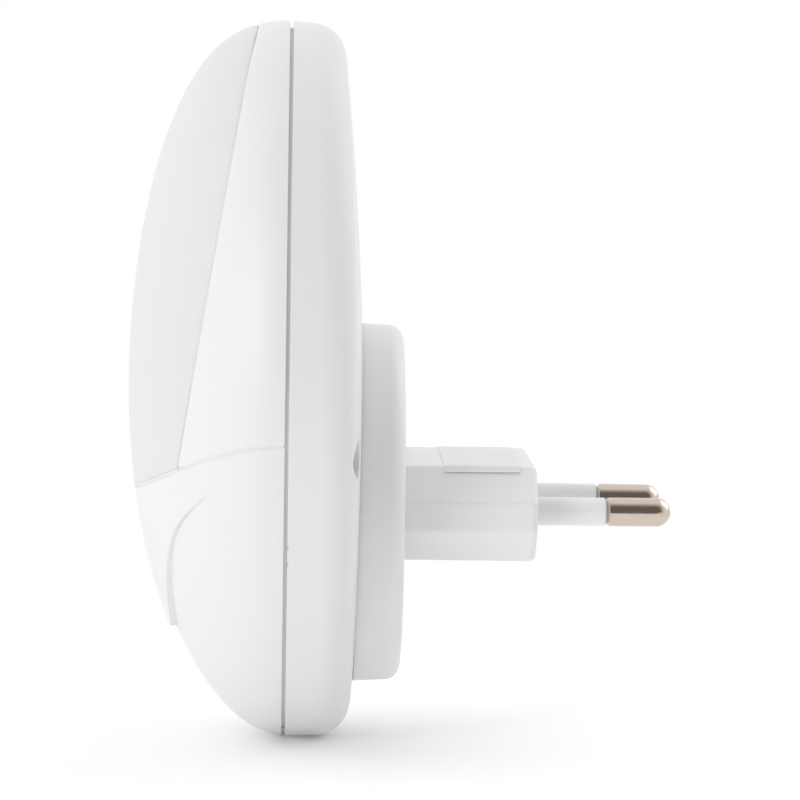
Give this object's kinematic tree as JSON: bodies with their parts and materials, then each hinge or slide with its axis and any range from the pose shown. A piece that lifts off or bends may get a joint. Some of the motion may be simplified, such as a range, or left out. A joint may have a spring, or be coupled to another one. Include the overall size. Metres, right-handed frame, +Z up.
{
  "type": "night light",
  "caption": "Plug-in night light: domed oval head with opal window and smile-shaped seam, turning on a round disc with a flat pin plug.",
  "frame": {"origin": "centre of the plug's engagement face between the pins, on the axis that the head turns about", "axes": "+Y along the pins into the wall socket, +Z up, lit face towards -Y"},
  "size_m": [0.078, 0.0761, 0.101],
  "materials": {
    "shell_white": "satin moulded ABS",
    "opal_white": "opal, satin",
    "smoked_window": "smoked, polished",
    "plug_white": "satin moulded plastic",
    "sleeve_white": "satin",
    "nickel_plate": "nickel plated, polished",
    "label_silver": "silver film",
    "screw_steel": "zinc plated",
    "spring_steel": "bare spring steel",
    "contact_brass": "bare",
    "board_green": "solder mask",
    "led_white": "phosphor",
    "reflector_white": "bright white",
    "sensor_clear": "clear epoxy",
    "shroud_black": "black",
    "capacitor_yellow": "moulded box",
    "capacitor_sleeve": "shrink sleeve",
    "varistor_blue": "epoxy dip",
    "resistor_beige": "lacquer"
  },
  "bodies": {
    "plug": {"plug_disc": "plug_white", "pin_sleeves": "sleeve_white", "plug_pins": "nickel_plate", "rating_label": "label_silver", "pin_holder": "plug_white", "disc_retainer": "plug_white", "retainer_screws": "screw_steel", "wave_washer": "spring_steel", "contact_rings": "contact_brass"},
    "lamp_head": {"back_shell": "shell_white", "front_frame": "shell_white", "lower_cover": "shell_white", "diffuser": "opal_white", "sensor_window": "smoked_window", "contact_springs": "contact_brass", "housing_screws": "screw_steel", "board_screws": "screw_steel", "circuit_board": "board_green", "leds": "led_white", "led_reflector": "reflector_white", "light_sensor": "sensor_clear", "sensor_shroud": "shroud_black", "film_capacitor": "capacitor_yellow", "electrolytic_capacitor": "capacitor_sleeve", "varistor": "varistor_blue", "fuse_resistor": "resistor_beige", "bridge_rectifier": "shroud_black", "resistors": "shroud_black"}
  },
  "joints": [
    {"name": "plug_turn", "type": "hinge", "parent": "plug", "child": "lamp_head", "pos_m": [0, -0.0255, 0], "axis": [0, 1, 0], "range_deg": [-90, 90]}
  ]
}
